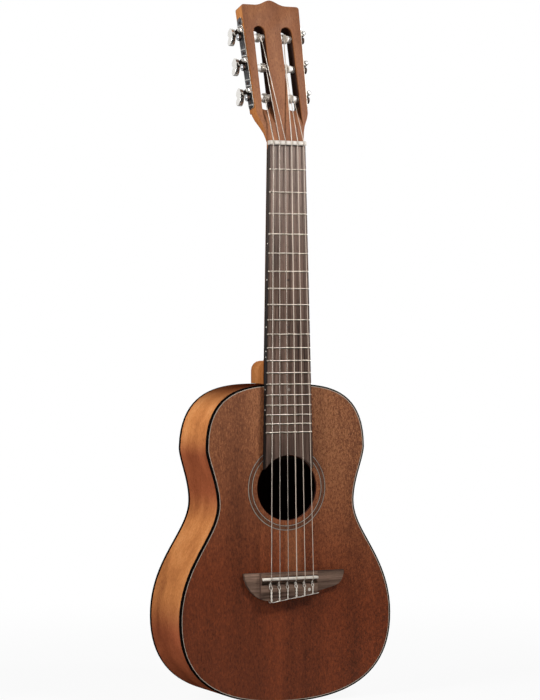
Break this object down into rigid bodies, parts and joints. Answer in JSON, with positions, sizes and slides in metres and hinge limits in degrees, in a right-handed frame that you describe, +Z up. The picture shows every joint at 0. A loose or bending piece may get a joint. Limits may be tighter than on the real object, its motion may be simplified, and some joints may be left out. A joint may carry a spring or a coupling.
{
  "type": "guitalele",
  "caption": "Small nylon-strung travel guitar with a hollow waisted body, a fretted neck, a tie bridge and a slotted headstock with geared tuning machines.",
  "frame": {"origin": "middle of the nut's front edge, on the fretboard's playing surface", "axes": "+Z up along the neck towards the headstock, -Y out of the soundboard towards the player's audience, -X towards the bass side"},
  "size_m": [0.234, 0.0941, 0.7121],
  "materials": {
    "mahogany_top": "satin",
    "mahogany_side": "satin",
    "neck_wood": "satin",
    "bracing_wood": "raw",
    "ebonized_binding": "gloss",
    "rosette_wood": "satin",
    "fingerboard_wood": "oiled",
    "fret_wire": "polished",
    "ivory_plastic": "satin",
    "roller_plastic": "satin",
    "chrome": "polished",
    "nylon": "smooth",
    "wound_wire": "wound"
  },
  "bodies": {
    "instrument": {"soundboard": "mahogany_top", "back": "mahogany_side", "side_bass": "mahogany_side", "side_treble": "mahogany_side", "binding_front": "ebonized_binding", "binding_back": "ebonized_binding", "rosette": "rosette_wood", "lining_front": "bracing_wood", "lining_back": "bracing_wood", "neck_block": "bracing_wood", "tail_block": "bracing_wood", "brace_upper": "bracing_wood", "brace_lower": "bracing_wood", "bridge_plate": "bracing_wood", "back_brace_upper": "bracing_wood", "back_brace_lower": "bracing_wood", "neck": "neck_wood", "fretboard": "fingerboard_wood", "fret_01": "fret_wire", "fret_02": "fret_wire", "fret_03": "fret_wire", "fret_04": "fret_wire", "fret_05": "fret_wire", "fret_06": "fret_wire", "fret_07": "fret_wire", "fret_08": "fret_wire", "fret_09": "fret_wire", "fret_10": "fret_wire", "fret_11": "fret_wire", "fret_12": "fret_wire", "fret_13": "fret_wire", "fret_14": "fret_wire", "fret_15": "fret_wire", "fret_16": "fret_wire", "fret_17": "fret_wire", "fret_18": "fret_wire", "fret_19": "fret_wire", "nut": "ivory_plastic", "bridge": "fingerboard_wood", "saddle": "ivory_plastic", "machine_plate_bass": "chrome", "machine_plate_treble": "chrome", "string_1": "nylon", "string_2": "nylon", "string_3": "nylon", "string_4": "wound_wire", "string_5": "wound_wire", "string_6": "wound_wire"},
    "roller_1": {"roller_1": "roller_plastic"},
    "button_1": {"button_1": "chrome"},
    "roller_2": {"roller_2": "roller_plastic"},
    "button_2": {"button_2": "chrome"},
    "roller_3": {"roller_3": "roller_plastic"},
    "button_3": {"button_3": "chrome"},
    "roller_4": {"roller_4": "roller_plastic"},
    "button_4": {"button_4": "chrome"},
    "roller_5": {"roller_5": "roller_plastic"},
    "button_5": {"button_5": "chrome"},
    "roller_6": {"roller_6": "roller_plastic"},
    "button_6": {"button_6": "chrome"}
  },
  "joints": [
    {"name": "button_1_turn", "type": "hinge", "parent": "instrument", "child": "button_1", "pos_m": [0.03377, 0.02578, 0.05493], "axis": [0, 0.969, -0.247], "continuous": true},
    {"name": "roller_1_turn", "type": "hinge", "parent": "instrument", "child": "roller_1", "pos_m": [0.02933, 0.02423, 0.04885], "axis": [0.9995, -0.0075, -0.0292], "continuous": true},
    {"name": "button_2_turn", "type": "hinge", "parent": "instrument", "child": "button_2", "pos_m": [0.03475, 0.03378, 0.08631], "axis": [0, 0.969, -0.247], "continuous": true},
    {"name": "roller_2_turn", "type": "hinge", "parent": "instrument", "child": "roller_2", "pos_m": [0.03031, 0.03223, 0.08023], "axis": [0.9995, -0.0075, -0.0292], "continuous": true},
    {"name": "button_3_turn", "type": "hinge", "parent": "instrument", "child": "button_3", "pos_m": [0.03573, 0.04178, 0.11769], "axis": [0, 0.969, -0.247], "continuous": true},
    {"name": "roller_3_turn", "type": "hinge", "parent": "instrument", "child": "roller_3", "pos_m": [0.03129, 0.04023, 0.11162], "axis": [0.9995, -0.0075, -0.0292], "continuous": true},
    {"name": "button_4_turn", "type": "hinge", "parent": "instrument", "child": "button_4", "pos_m": [-0.03573, 0.04178, 0.11769], "axis": [0, 0.969, -0.247], "continuous": true},
    {"name": "roller_4_turn", "type": "hinge", "parent": "instrument", "child": "roller_4", "pos_m": [-0.03129, 0.04023, 0.11162], "axis": [0.9995, 0.0075, 0.0292], "continuous": true},
    {"name": "button_5_turn", "type": "hinge", "parent": "instrument", "child": "button_5", "pos_m": [-0.03475, 0.03378, 0.08631], "axis": [0, 0.969, -0.247], "continuous": true},
    {"name": "roller_5_turn", "type": "hinge", "parent": "instrument", "child": "roller_5", "pos_m": [-0.03031, 0.03223, 0.08023], "axis": [0.9995, 0.0075, 0.0292], "continuous": true},
    {"name": "button_6_turn", "type": "hinge", "parent": "instrument", "child": "button_6", "pos_m": [-0.03377, 0.02578, 0.05493], "axis": [0, 0.969, -0.247], "continuous": true},
    {"name": "roller_6_turn", "type": "hinge", "parent": "instrument", "child": "roller_6", "pos_m": [-0.02933, 0.02423, 0.04885], "axis": [0.9995, 0.0075, 0.0292], "continuous": true}
  ],
  "couplings": [
    {"joint": "roller_1_turn", "follows": "button_1_turn", "ratio": 0.071429},
    {"joint": "roller_2_turn", "follows": "button_2_turn", "ratio": 0.071429},
    {"joint": "roller_3_turn", "follows": "button_3_turn", "ratio": 0.071429},
    {"joint": "roller_4_turn", "follows": "button_4_turn", "ratio": 0.071429},
    {"joint": "roller_5_turn", "follows": "button_5_turn", "ratio": 0.071429},
    {"joint": "roller_6_turn", "follows": "button_6_turn", "ratio": 0.071429}
  ]
}
